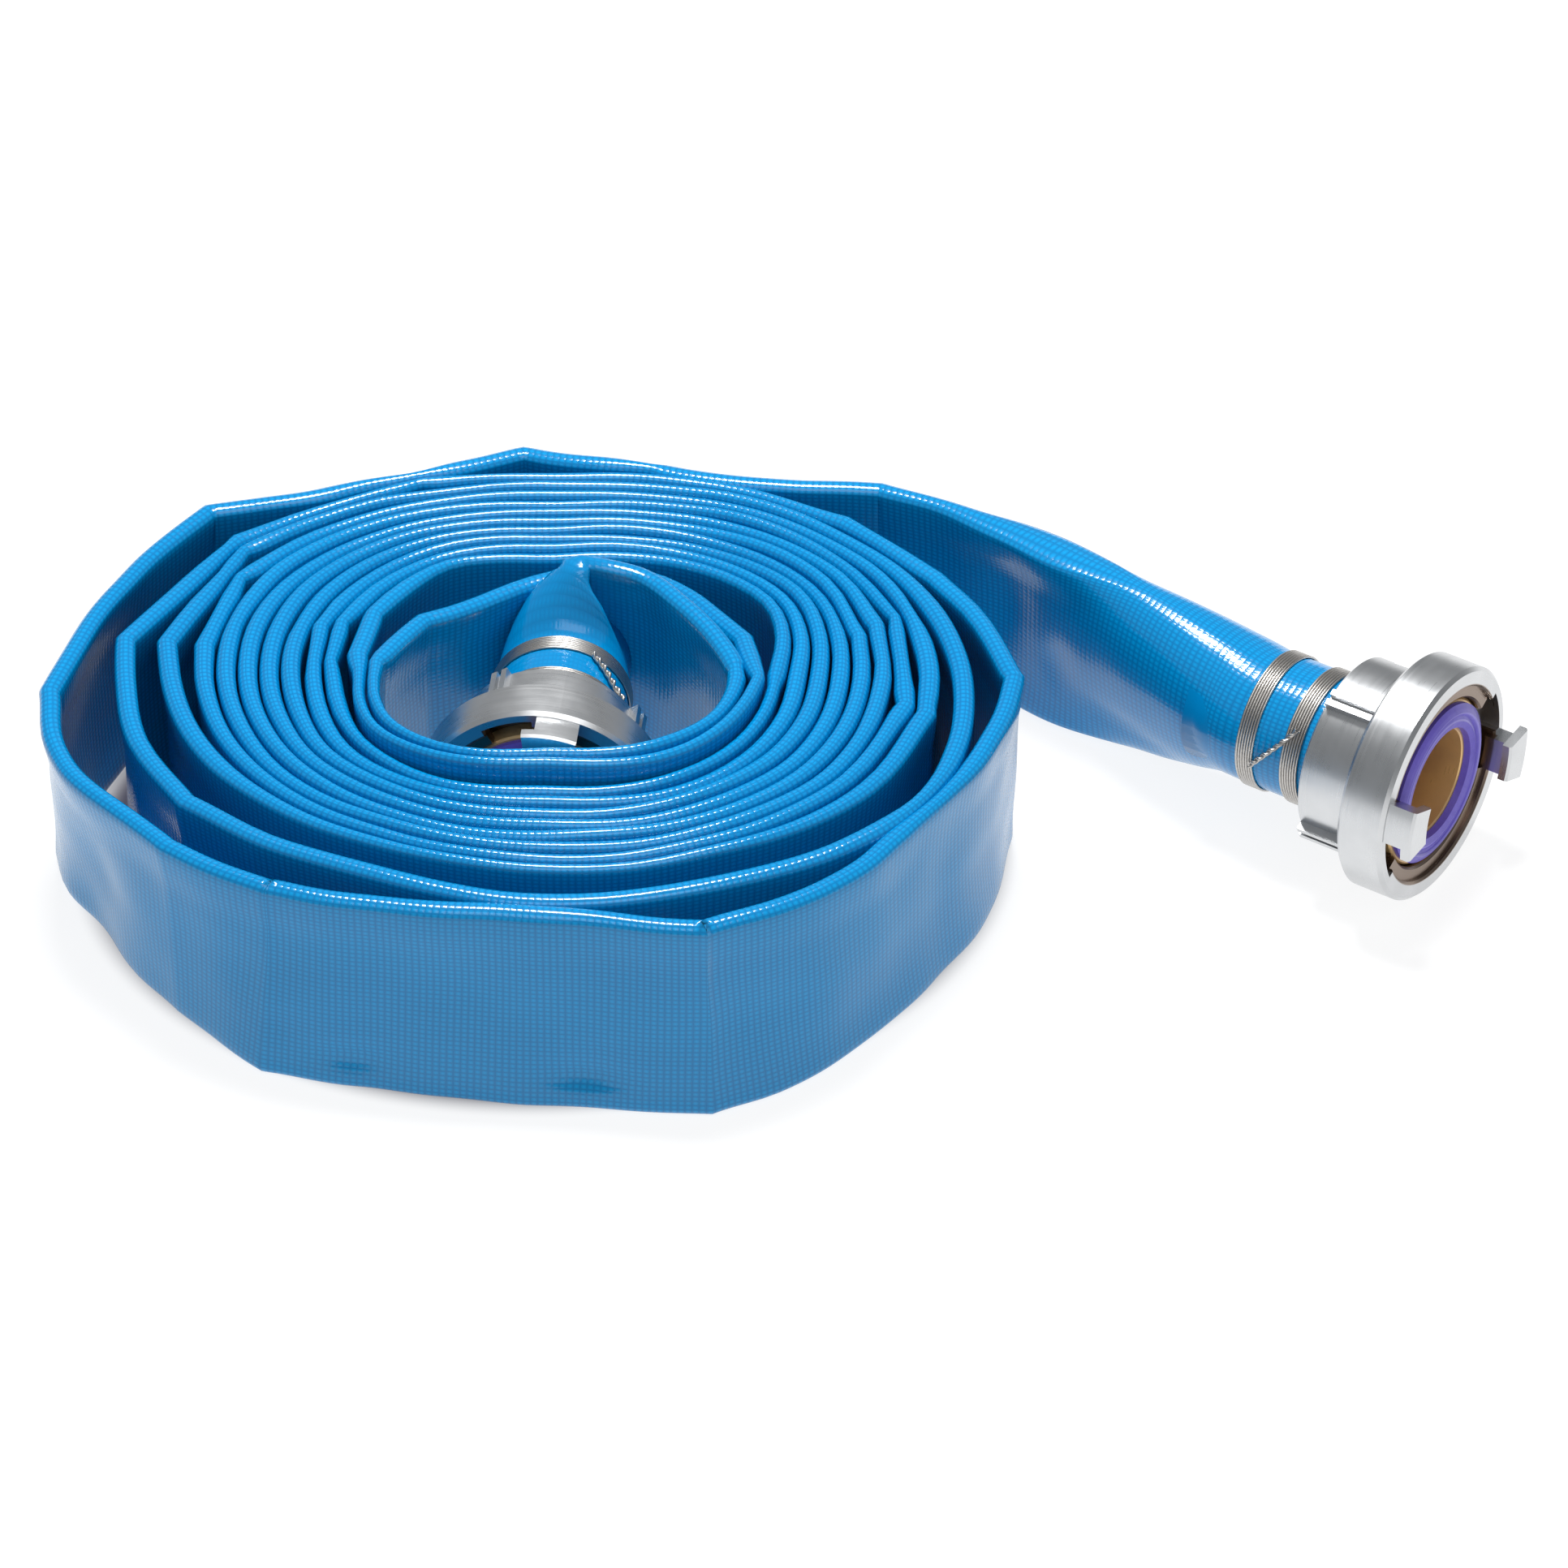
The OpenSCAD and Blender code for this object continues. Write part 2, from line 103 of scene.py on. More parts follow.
class Finish:
    """One material, built round its main surface shader."""

    def __init__(self, name, **constants):
        self.material = bpy.data.materials.new(name)
        self.material.use_nodes = True
        self.tree = self.material.node_tree
        self.skin = self.tree.nodes["Principled BSDF"]
        for socket, value in constants.items():
            self.feed(self.skin, socket.replace("_", " "), value)

    def feed(self, node, socket, value):
        if isinstance(value, Signal):
            self.tree.links.new(value.socket, node.inputs[socket])
        else:
            node.inputs[socket].default_value = value

    def node(self, kind, settings, sockets, output=0):
        made = self.tree.nodes.new(kind)
        for name, value in settings.items():
            setattr(made, name, value)
        for socket, value in sockets.items():
            self.feed(made, socket, value)
        return Signal(self, made.outputs[output])

    def maths(self, operation, a, b=0.0):
        return self.node("ShaderNodeMath", {"operation": operation}, {0: a, 1: b})

    def vector_maths(self, operation, a, b, output=0):
        return self.node("ShaderNodeVectorMath", {"operation": operation}, {0: a, 1: b}, output)

    def length(self, vector):
        return self.vector_maths("LENGTH", vector, (0.0, 0.0, 0.0), "Value")

    def mix(self, amount, a, b):
        return self.node("ShaderNodeMix", {"data_type": "RGBA"}, {0: amount, 6: a, 7: b}, 2)

    def step(self, value, low, high):
        settings = {"interpolation_type": "SMOOTHSTEP"}
        return self.node("ShaderNodeMapRange", settings, {0: value, 1: low, 2: high})

    def place(self):
        return self.node("ShaderNodeTexCoord", {}, {}, "Object")

    def split(self, vector, output):
        return self.node("ShaderNodeSeparateXYZ", {}, {0: vector}, output)

    def join(self, x, y, z=0.0):
        return self.node("ShaderNodeCombineXYZ", {}, {0: x, 1: y, 2: z})

    def grain(self, vector, scale, detail=2.0):
        sockets = {"Vector": vector, "Scale": scale, "Detail": detail}
        return self.node("ShaderNodeTexNoise", {}, sockets)

    def colour(self, value):
        self.feed(self.skin, "Base Color", value)

    def roughness(self, value):
        self.feed(self.skin, "Roughness", value)

    def relief(self, height, depth):
        bump = self.node("ShaderNodeBump", {}, {"Height": height, "Distance": depth})
        self.feed(self.skin, "Normal", bump)


def shaped(name, bm, finish):
    """Make a bmesh into an object of one material."""
    data = bpy.data.meshes.new(name)
    bm.to_mesh(data)
    bm.free()
    data.materials.append(finish.material)
    return stand(name, data)


# The table has painted shade in an oval under the turns, and is bright in their open middle and
# outside
oval_middle = (-0.100, 0.009, 0.0)
oval_stretch = (1.0, 1.12, 1.0)
painted_shade_inner_edge = (0.065, 0.085)
painted_shade_outer_edge = (0.172, 0.191)
painted_shade_glow, glow_full = (0.07, 0.07, 0.10, 1.0), (1.0, 1.0, 1.0, 1.0)
painted_shade_tone, tone_full = (0.03, 0.03, 0.04, 1.0), (0.2, 0.2, 0.2, 1.0)
table_drop = Matrix.Translation((0.0, 0.0, -0.0004))

table_white = Finish(
    "table_white", Roughness=0.9, Emission_Strength=0.86, Specular_IOR_Level=0.0
)
offset = table_white.vector_maths("SUBTRACT", table_white.place(), oval_middle)
offset = table_white.vector_maths("MULTIPLY", offset, oval_stretch)
from_middle = table_white.length(offset)
# Painted shade: under the turns the table glows dimmer and its colour is darker
middle_table = 1.0 - table_white.step(from_middle, *painted_shade_inner_edge)
open_table = table_white.step(from_middle, *painted_shade_outer_edge) + middle_table
table_glow = table_white.mix(open_table, painted_shade_glow, glow_full)
table_white.feed(table_white.skin, "Emission Color", table_glow)
table_white.colour(table_white.mix(open_table, painted_shade_tone, tone_full))
table_mesh = bmesh.new()
bmesh.ops.create_grid(table_mesh, x_segments=2, y_segments=2, size=6.0, matrix=table_drop)
shaped("table", table_mesh, table_white)


def soft_box(name, place, aim, size, power):
    data = bpy.data.lights.new(name, "AREA")
    data.shape = "RECTANGLE"
    data.size, data.size_y = size
    data.energy = power
    lamp = stand(name, data)
    lamp.location = place
    lamp.rotation_euler = (Vector(aim) - Vector(place)).to_track_quat("-Z", "Y").to_euler()


soft_box("overhead", (-0.05, 0.55, 2.15), (-0.05, 0.0, 0.0), (0.7, 0.4), 56.0)
soft_box("front", (0.2, -1.5, 2.4), (0.0, 0.0, 0.0), (2.0, 1.4), 17.0)

# ---------------------------------------------------------------------------------------------
# The hose. A woven tube coated inside and out, pressed flat and wound on edge from the inner
# coupling outward, in twelve turns that crease where they were bent. Each end swells to a round
# cuff on its coupling. Lengths are millimetres up to the mesh.
# ---------------------------------------------------------------------------------------------
mm = 0.001
hose_width = 85.0
hose_thickness = 7.0
turn_gap = 0.8
cuff_radius = 27.5
lining_radius = 25.5
jacket_end = 45.0  # depth behind the coupling's face
roll_middle = Vector((-96.103, 9.052))
ring_radius = 49.0
# Middle of each coupling's face, and the bearing of its axis in degrees
couplings = {
    "outer": (Vector((254.897, -16.348)), -34.0),
    "inner": (Vector((-99.603, -34.448)), -95.0),
}
# How far each turn lies outside a tight winding, every 30 degrees clockwise from the right
slack_step = 30.0
slack = {
    1: [24, 24, 18.5, 11.7, 18, 23, 18.5, 11, 8, 18, 26, 26],
    2: [24.5, 23.5, 18, 11.2, 16.4, 21.5, 19, 23, 30, 24, 34, 43],
    3: [26, 23, 17.5, 11, 16, 20.5, 21.5, 27, 29.5, 23.5, 33.5, 42.5],
    9: [34, 29, 17.3, 11.2, 12, 22.5, 31, 35, 26, 18.5, 29, 40.5],
    10: [37, 31, 17, 10.6, 11.4, 24, 37, 38, 25.5, 18, 28.5, 41],
    11: [43, 46, 29, 22, 21, 39, 48, 40, 25, 17.5, 28, 43],
}
for turn in range(4, 9):
    slack[turn] = [a + (b - a) * (turn - 3) / 6 for a, b in zip(slack[3], slack[9])]

# The outermost turn: degrees clockwise, slack, lean of its top outward and 1 at a sharp corner
outermost = [
    (0, 54, 2, 1), (10, 51, 1, 0), (20.5, 48.4, -1, 0), (30, 46.4, -2, 0), (37, 46, -3, 0),
    (44, 48.5, -5, 0), (52, 51, -6.4, 0), (60, 51.8, -8.5, 0), (69, 53.6, -10, 1),
    (76.5, 44, -11, 0), (84.6, 37, -12, 0), (94, 35.3, -13, 0), (105, 35.4, -11, 0),
    (113, 38.6, -9.5, 0), (120, 44.6, -10, 0), (127.3, 51.6, -10.5, 1), (134, 50.2, -4, 0),
    (143, 50.2, 3.7, 1), (154, 52.5, 8, 0), (163.7, 57, 12, 0), (170, 64.5, 6, 0),
    (177, 69, 1, 1), (190.6, 60.5, 0, 0), (199, 57.4, 0, 0), (208.6, 55.2, 0, 0),
    (218.4, 54, 0, 1), (222.5, 44.5, 0, 0), (229, 34.5, 0, 0), (239, 26, 0, 0),
    (252, 22.6, 0, 0), (259, 24, 0, 0), (264.6, 28, 0, 1), (270, 23.6, 0, 0), (277, 21.4, 0, 0),
    (285, 21, 0, 0),
]
# Sharp corners of the turns inside it: turn, degrees clockwise and how far each stands out
kinks = [
    (1, 183, 1.6), (1, 214, 2.4), (1, 344, 1.5), (2, 5, 1.2), (2, 188.6, 1.6), (2, 209.6, 2.6),
    (3, 187, 2.0), (3, 203, 2.0), (4, 200, 1.0), (6, 347, 0.7), (7, 345, 1.2), (8, 343.5, 2.2),
    (9, 7, 2.6), (9, 189, 1.0), (9, 208, 2.4), (10, 9, 1.4), (10, 188.8, 3.2), (10, 214, 2.2),
    (11, 149.8, 1.5), (11, 188.4, 4.2), (11, 216, 2.0), (11, 247, 1.6), (11, 318, 1.6),
    (11, 336, 1.2),
]
kink_reach = 8.0  # degrees each side in which a corner stands alone


def heading(bearing):
    return Vector((math.cos(math.radians(bearing)), math.sin(math.radians(bearing))))


def tight(turn):
    return ring_radius + (turn - 1) * hose_thickness


def curve(t, a, leaving, b, arriving):
    """Smooth value from a to b, with the slopes with which it leaves and arrives."""
    return (
        (2 * t**3 - 3 * t**2 + 1) * a
        + (t**3 - 2 * t**2 + t) * leaving
        + (3 * t**2 - 2 * t**3) * b
        + (t**3 - t**2) * arriving
    )


knots = [tight(turn) + s for turn in range(1, 12) for s in slack[turn]]
knots += [tight(12) + outermost[0][1], tight(12) + outermost[3][1]]


def wound_radius(angle):
    """Smooth radius of the eleven inner turns, by the angle turned from the start."""
    steps = angle / slack_step
    i = min(int(steps), len(knots) - 2)
    before, a, b = knots[max(i - 1, 0)], knots[i], knots[i + 1]
    after = knots[min(i + 2, len(knots) - 1)]
    return curve(steps - i, a, (b - before) / 2, b, (after - a) / 2)


# The wound part as angle turned, radius, lean and sharpness, every 15 degrees and at each corner
wound = [(15.0 * i, wound_radius(15.0 * i), 0.0, 0) for i in range(11 * 24)]
for turn, clock, out in kinks:
    angle = 360.0 * (turn - 1) + clock
    wound = [w for w in wound if w[3] or abs(w[0] - angle) > kink_reach]
    wound.append((angle, wound_radius(angle) + out, 0.0, 1))
wound += [(360.0 * 11 + c, tight(12) + s, lean, sharp) for c, s, lean, sharp in outermost]
wound.sort()


front_lift = 9.0
lifted_turns = 2.2


def lift(angle):
    """Height of the first two turns off the table, most in front and fading out."""
    front = 0.5 + 0.5 * math.sin(math.radians(angle))
    return front_lift * front * max(0.0, min(1.0, lifted_turns - angle / 360.0))


# A station is X, Y, middle height, half height, half thickness, how far it is from pressed (0)
# to round (1), and its lean.
def soft_station(x, y, middle, roundness):
    """Station between pressed and round: the walls part early, the height shrinks late."""
    high = hose_width / 2 + (cuff_radius - hose_width / 2) * roundness**1.3
    wide = hose_thickness / 2 + (cuff_radius - hose_thickness / 2) * roundness**0.45
    return [x, y, middle, high, wide, min(1.0, 5.0 * roundness), 0.0]


def axis_point(end, depth):
    """Point on a coupling's axis, by its depth behind the face."""
    face, bearing = couplings[end]
    return (face - depth * heading(bearing)).to_3d() + Vector((0, 0, ring_radius))


def cuff_station(end, depth):
    return [*axis_point(end, depth), cuff_radius, cuff_radius, 1.0, 0.0]


# From the inner cuff over the fold into the first turn: X, Y, middle height and roundness
inner_route = [
    (-91.7, 56.0, 53.5, 0.58), (-89.2, 62.4, 56.0, 0.2), (-84.6, 67.6, 56.5, 0),
    (-75.1, 68.4, 54, 0), (-62.1, 65.6, 52, 0), (-44.1, 47.1, 50.5, 0), (-29.1, 25.1, 48, 0),
]
inner_fold = 6
# From the roll's back past one crease to the outer cuff: X, Y and roundness
outer_route = [
    (-44.0, 146.6, 0), (-8.1, 140.4, 0), (14.0, 138.0, 0), (35.2, 136.6, 0),
    (60.0, 125.0, 0), (86.0, 109.4, 0.01),
    (106.0, 93.6, 0.06), (124.0, 79.6, 0.14), (140.5, 66.4, 0.26), (155.0, 54.8, 0.45),
    (168.0, 44.6, 0.68), (178.0, 37.4, 0.88),
]
outer_crease = 3

stations = [cuff_station("inner", depth) for depth in (jacket_end, 60, 72, 82)]
stations += [soft_station(*spot) for spot in inner_route]
creases = {inner_fold}
first_wound = len(stations)
for angle, radius, lean, sharp in wound:
    x, y = roll_middle + radius * heading(-angle)
    if sharp:
        creases.add(len(stations))
    middle = lift(angle) + hose_width / 2
    stations.append([x, y, middle, hose_width / 2, hose_thickness / 2, 0.0, lean])
last_wound = len(stations) - 1
outermost_start = last_wound - len(outermost) + 1
creases.add(len(stations) + outer_crease)
for x, y, roundness in outer_route:
    middle = hose_width / 2 + (ring_radius - hose_width / 2) * roundness
    stations.append(soft_station(x, y, middle, roundness))
stations += [cuff_station("outer", depth) for depth in (80, 70, 60, jacket_end)]


def slope(i, side):
    """Slope at station i, for the stretch before it (-1) or behind it (1)."""
    here = stations[i]
    before = stations[max(i - 1, 0)]
    after = stations[min(i + 1, len(stations) - 1)]
    if i in creases:
        return [side * (b - a) for a, b in zip(here, after if side > 0 else before)]
    d1 = max(1.0, math.dist(before[:2], here[:2]))
    d2 = max(1.0, math.dist(here[:2], after[:2]))
    size = d2 if side > 0 else d1
    return [
        size * ((b - a) / d1 * d2 + (c - b) / d2 * d1) / (d1 + d2)
        for a, b, c in zip(before, here, after)
    ]


def place_at(s):
    """The station a fraction of the way from one station to the next."""
    i = min(int(s), len(stations) - 2)
    row = zip(stations[i], slope(i, 1), stations[i + 1], slope(i + 1, -1))
    return [curve(s - i, *values) for values in row]


def angle_at(s):
    i = min(max(int(s), first_wound), last_wound - 1)
    a, b = wound[i - first_wound][0], wound[i - first_wound + 1][0]
    return a + (b - a) * (s - i)


# Where the rings of the mesh lie, as station number plus fraction: closer by a crease
pitch_inside, pitch_outermost, pitch_ends = 7.4, 4.6, 2.6
marks = []
for i in range(len(stations) - 1):
    pitch = pitch_outermost if i >= outermost_start else pitch_inside
    if i < first_wound or i > last_wound:
        pitch = pitch_ends
    count = max(2, round(math.dist(stations[i][:2], stations[i + 1][:2]) / pitch))
    for k in range(count):
        t = k / count
        if i in creases and i + 1 in creases:
            t = t * t * (3 - 2 * t)
        elif i in creases:
            t = t**1.5
        elif i + 1 in creases:
            t = 1 - (1 - t) ** 1.5
        marks.append(i + t)
marks.append(len(stations) - 1)

# The pressed section: two walls that lie together, between round folds at top and bottom
fold = hose_thickness / 2
quarter = [
    (fold * math.cos(a), hose_width / 2 - fold + fold * math.sin(a))
    for a in map(math.radians, (78, 52, 26, 2))
]
quarter += [
    (fold * share, height)
    for height, share in (
        (36.0, 0.96), (32.5, 0.88), (28.0, 0.78), (23.0, 0.71), (17.5, 0.66), (12.0, 0.62),
        (7.0, 0.6), (2.3, 0.6),
    )
]
half = quarter + [(a, -h) for a, h in reversed(quarter)]
pressed = half + [(-a, h) for a, h in reversed(half)]
sides = len(pressed)
girth_steps = [math.dist(pressed[k - 1], pressed[k]) for k in range(sides)]
girth = sum(girth_steps)
around = [girth_steps[0] / 2 + sum(girth_steps[1 : k + 1]) for k in range(sides)]

# Dents of the outermost turn and of the outer run: X, Y, height, reach along, reach up, depth.
# They press the front walls in, away from the viewer.
inward = Vector((0.25, 0.97))
dents = [
    (92.0, 104.0, 52.0, 14.0, 20.0, 3.0), (112.0, 88.0, 34.0, 9.0, 12.0, 4.5),
    (132.0, 72.0, 22.0, 22.0, 7.0, 2.5), (150.0, 58.0, 20.0, 16.0, 6.0, 1.5),
    (-78.0, -152.0, 15.0, 15.0, 4.5, 3.0), (-74.0, -152.0, 25.0, 8.0, 3.5, 1.2),
    (-170.0, -140.0, 13.0, 14.0, 4.0, 2.2), (-196.0, -128.0, 22.0, 10.0, 5.0, 1.6),
    (-208.0, -120.0, 40.0, 14.0, 14.0, 2.4), (-30.0, -146.0, 40.0, 16.0, 14.0, 2.0),
    (-130.0, -152.0, 52.0, 24.0, 14.0, 1.8), (-262.0, -60.0, 40.0, 14.0, 20.0, 2.4),
]
ruffle_wound, ruffle_free = 0.5, 1.8
ruffle_along, ruffle_up = 0.03, 2.2
upper_wall = 24.0  # height above the middle from which a free wall bulges
free_bulge = 1.22
top_fullness = 0.025  # for each millimetre by which a swelling end is taller than its cuff
unevenness = 0.7


def dented(point):
    for x, y, z, reach, tall, depth in dents:
        far = ((point.x - x) ** 2 + (point.y - y) ** 2) / reach**2
        far += ((point.z - z) / tall) ** 2
        if far < 9:
            push = inward * depth * math.exp(-far)
            point = point + Vector((push.x, push.y, 0.0))
    return point


def section(station, outward, bulge, free):
    """Ring of points round the hose; free where no further turn lies outside it."""
    x, y, middle, high, wide, blend, lean = station
    points = []
    for k, (a, h) in enumerate(pressed):
        flat_a = a * wide / fold * (bulge if h > upper_wall else min(bulge, 1.0))
        flat_h = h * high / (hose_width / 2)
        angle = math.pi / 2 - 2 * math.pi * around[k] / girth
        fuller = 1 + top_fullness * max(0.0, high - cuff_radius) * math.sin(angle)
        side = flat_a + (wide * fuller * math.cos(angle) - flat_a) * blend
        up = flat_h + (high * math.sin(angle) - flat_h) * blend
        rise = (middle + up) / hose_width
        side += lean * (middle + up) / hose_width
        layer = rise * ruffle_up + (5.0 if free else 0.0)
        ruffle = noise.noise(Vector((x * ruffle_along, y * ruffle_along, layer)))
        side += ruffle * (1 - blend) * (ruffle_free if free else ruffle_wound)
        point = Vector((x + outward.x * side, y + outward.y * side, middle + up))
        points.append(dented(point) if free and a * outward.dot(inward) < 0 else point)
    return points


def space_at(angle, here):
    """Thickness that the turns next to this one leave, as a share of the pressed hose's."""
    share = free_bulge
    for other in (angle - 360, angle + 360):
        if 0 <= other < wound[-1][0]:
            k = next(n for n in range(len(wound)) if wound[n + 1][0] > other)
            part = (other - wound[k][0]) / (wound[k + 1][0] - wound[k][0])
            neighbour = Vector(place_at(first_wound + k + part)[:2])
            share = min(share, ((neighbour - here).length - turn_gap) / hose_thickness)
    return share


rings = []
lengths = [0.0]
places = [place_at(s) for s in marks]
for j, s in enumerate(marks):
    here = Vector(places[j][:2])
    before = Vector(places[max(j - 1, 0)][:2])
    after = Vector(places[min(j + 1, len(marks) - 1)][:2])
    way = (after - before).normalized()
    if 0 < j < len(marks) - 1:
        way = ((here - before).normalized() + (after - here).normalized()).normalized()
    bulge = free_bulge
    if first_wound <= s <= last_wound:
        angle = angle_at(s)
        bulge = space_at(angle, here)
        spot = Vector((here.x * 0.02, here.y * 0.02, angle * 0.004))
        uneven = unevenness * noise.noise(spot)
        places[j][2] += uneven
        places[j][3] += uneven
    outward = Vector((-way.y, way.x))
    rings.append(section(places[j], outward, bulge, s >= outermost_start))
    if j:
        lengths.append(lengths[-1] + (here - before).length)

# One wall from ring to ring, with the length along the hose and the way round it as its UV map
hose_mesh = bmesh.new()
uv = hose_mesh.loops.layers.uv.new("hose")
ring_verts = [[hose_mesh.verts.new(point * mm) for point in ring] for ring in rings]
for j in range(len(rings) - 1):
    for k in range(sides):
        corners = ((j, k), (j, k + 1), (j + 1, k + 1), (j + 1, k))
        face = hose_mesh.faces.new([ring_verts[r][c % sides] for r, c in corners])
        face.smooth = True
        for loop, (r, c) in zip(face.loops, corners):
            v = around[c] if c < sides else girth + around[0]
            loop[uv].uv = (lengths[r] * mm, v * mm)


def wall_between(bm, ring, following):
    for k in range(len(ring)):
        m = (k + 1) % len(ring)
        bm.faces.new((ring[k], ring[m], following[m], following[k])).smooth = True


# Each end of the jacket turns in over the rubber lining, which runs back inside as far as shows
for end, last in (("inner", ring_verts[0]), ("outer", ring_verts[-1])):
    middle = axis_point(end, jacket_end)
    spokes = [(vert.co * 1000.0 - middle).normalized() for vert in last]
    for depth in (jacket_end, 60.0, 75.0, 90.0, 105.0):
        middle = axis_point(end, depth)
        fresh = [hose_mesh.verts.new((middle + spoke * lining_radius) * mm) for spoke in spokes]
        wall_between(hose_mesh, last, fresh)
        last = fresh
    hose_mesh.faces.new(last)
bmesh.ops.recalc_face_normals(hose_mesh, faces=hose_mesh.faces)

weft_pitch = 0.0027
warp_pitch = 0.0019
jacket_dark = (0.0, 0.155, 0.40, 1.0)
jacket_light = (0.001, 0.31, 0.68, 1.0)

jacket = Finish("coated_jacket")
along_across = jacket.node("ShaderNodeUVMap", {"uv_map": "hose"}, {})
along = jacket.split(along_across, "X")
across = jacket.split(along_across, "Y")
weft = jacket.maths("ABSOLUTE", jacket.maths("SINE", along * (math.pi / weft_pitch)))
warp = jacket.maths("ABSOLUTE", jacket.maths("SINE", across * (math.pi / warp_pitch)))
fine = jacket.grain(jacket.join(along * 700.0, across * 500.0), 1.0)
bloom = jacket.grain(jacket.join(along * 60.0, across * 60.0), 1.0, 3.0)
tint = jacket.grain(jacket.join(along * 6.0, across * 30.0), 1.0, 3.0)
# The weave hardly shows on the inner cuff and its fold, where the jacket is stretched smooth
stretched = 1.0 - jacket.step(along, 0.055, 0.095)
woven = tint * 0.4 + weft * warp * (0.75 - stretched * 0.55) + stretched * 0.2
jacket.colour(jacket.mix(woven, jacket_dark, jacket_light))
jacket.roughness(bloom * 0.12 + 0.1)
jacket.relief(weft * (warp * 0.5 + 0.5) + fine * 0.5, 0.00006)

hose = shaped("hose", hose_mesh, jacket)
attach(hose, "hose")
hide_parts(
    "hose_roll", "outer_run", "inner_run", "outer_jacket_cuff", "inner_jacket_cuff",
    "outer_lining_sleeve", "inner_lining_sleeve",
)

# ---------------------------------------------------------------------------------------------
# The wire bindings. Soft steel wire is wound tightly round each cuff in two bands, and its ends
# are twisted together across the blue strip between them. Lengths are millimetres.
# ---------------------------------------------------------------------------------------------
wire_radius = 0.55
wire_sides = 8
wire_lie = cuff_radius + wire_radius
band_depths = {"rear": 74.8, "front": 54.5}
band_turns = 7
band_pitch = 1.14
band_start = 280  # degrees round the coupling
turn_steps = 56

twist_radius = 0.72  # of one strand
twist_swing = 1.05 * twist_radius
twist_lie = wire_lie + 1.45
twist_clocks = {"outer": 184, "inner": 62}  # degrees round the coupling
twist_sweep = 43
twist_from = 71.0  # depth at the rear band
twist_span = 18.5
half_twists = 8
tip_rise = 1.6
twist_steps = 96


def coupling_frame(end):
    """Right, up and nose directions of a coupling, and the middle of its face."""
    face, bearing = couplings[end]
    nose = heading(bearing).to_3d()
    right = Vector((-nose.y, nose.x, 0.0))
    return right, Vector((0.0, 0.0, 1.0)), nose, Vector((face.x, face.y, ring_radius))


def round_coupling(end, clock, depth, radius):
    right, up, nose, face = coupling_frame(end)
    a = math.radians(clock)
    return face + radius * (math.cos(a) * right + math.sin(a) * up) - depth * nose


def wire_along(bm, route, radius):
    """Skin of a round wire whose middle follows the route, with closed ends."""
    last = None
    normal = None
    for j, point in enumerate(route):
        ahead = route[min(j + 1, len(route) - 1)] - route[max(j - 1, 0)]
        ahead.normalize()
        normal = ahead.orthogonal() if normal is None else normal - ahead * normal.dot(ahead)
        normal.normalize()
        other = ahead.cross(normal)
        ring = []
        for k in range(wire_sides):
            a = 2 * math.pi * k / wire_sides
            spoke = math.cos(a) * normal + math.sin(a) * other
            ring.append(bm.verts.new((point + radius * spoke) * mm))
        if last is None:
            bm.faces.new(reversed(ring))
        else:
            wall_between(bm, last, ring)
        last = ring
    bm.faces.new(last)


wire_steel = Finish("binding_wire", Metallic=1.0)
wire_dirt = wire_steel.grain(wire_steel.place(), 900.0, 3.0)
wire_steel.colour(wire_steel.mix(wire_dirt, (0.62, 0.60, 0.57, 1.0), (0.42, 0.40, 0.38, 1.0)))
wire_steel.roughness(wire_dirt * 0.3 + 0.2)
wire_steel.relief(wire_dirt, 0.00004)


def wire_piece(name, routes, radius, node):
    bm = bmesh.new()
    for route in routes:
        wire_along(bm, route, radius)
    bmesh.ops.recalc_face_normals(bm, faces=bm.faces)
    piece = shaped(name, bm, wire_steel)
    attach(piece, "hose")
    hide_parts(node)


def band_route(end, middle):
    steps = band_turns * turn_steps
    route = []
    for i in range(steps + 1):
        depth = middle - band_pitch * band_turns * (i / steps - 0.5)
        route.append(round_coupling(end, band_start + 360 * i / turn_steps, depth, wire_lie))
    return route


def twist_route(end, strand):
    """One of the two strands, which climbs over the front band and turns up at its tip."""
    route = []
    for i in range(twist_steps + 1):
        f = i / twist_steps
        a = math.pi * (half_twists * f + strand)
        climb = max(0.0, min(1.0, (f - 0.5) / 0.2))
        lie = twist_lie + 2 * wire_radius * climb * climb
        lie += tip_rise * max(0.0, f - 0.85) / 0.15
        clock = twist_clocks[end] - twist_sweep * f
        clock += math.degrees(twist_swing * math.sin(a) / lie)
        depth = twist_from - twist_span * f
        route.append(round_coupling(end, clock, depth, lie + twist_swing * math.cos(a)))
    return route


for end in ("outer", "inner"):
    for band, middle in band_depths.items():
        route = band_route(end, middle)
        wire_piece(f"{end}_{band}_wire_band", [route], wire_radius, f"{end}_{band}_binding")
    strands = [twist_route(end, strand) for strand in (0, 1)]
    wire_piece(f"{end}_wire_twist", strands, twist_radius, f"{end}_binding_twist")

# ---------------------------------------------------------------------------------------------
# The lug rings. Cast in aluminium and turned on a lathe, with claws, ledges and spanner ribs
# left as cast. They turn on the hose tails. The recess in the face has painted shade, tinted
# brown as a painted reflection of the gold tail.
# ---------------------------------------------------------------------------------------------
# The inner ring is painted lighter than the outer one as painted light; both are the same alloy
ring_tone_inner_painted_lit = {"outer": 0.68, "inner": 0.84}
recess_painted_shade = (0.25, 0.19, 0.15, 1.0)
recess_edge = (0.0418, 0.0424)
recess_floor = (-0.0185, -0.0175)
recess_mouth = (0.0005, 0.0015)


def round_axis(finish, end):
    """Offset from a coupling's face, depth along its axis and radius round it, in metres."""
    right, up, nose, face = coupling_frame(end)
    offset = finish.vector_maths("SUBTRACT", finish.place(), tuple(face * mm))
    depth = finish.vector_maths("DOT_PRODUCT", offset, tuple(nose), "Value")
    far = finish.length(offset)
    radius = finish.maths("SQRT", finish.maths("MAXIMUM", far * far - depth * depth, 0.0))
    return offset, depth, radius


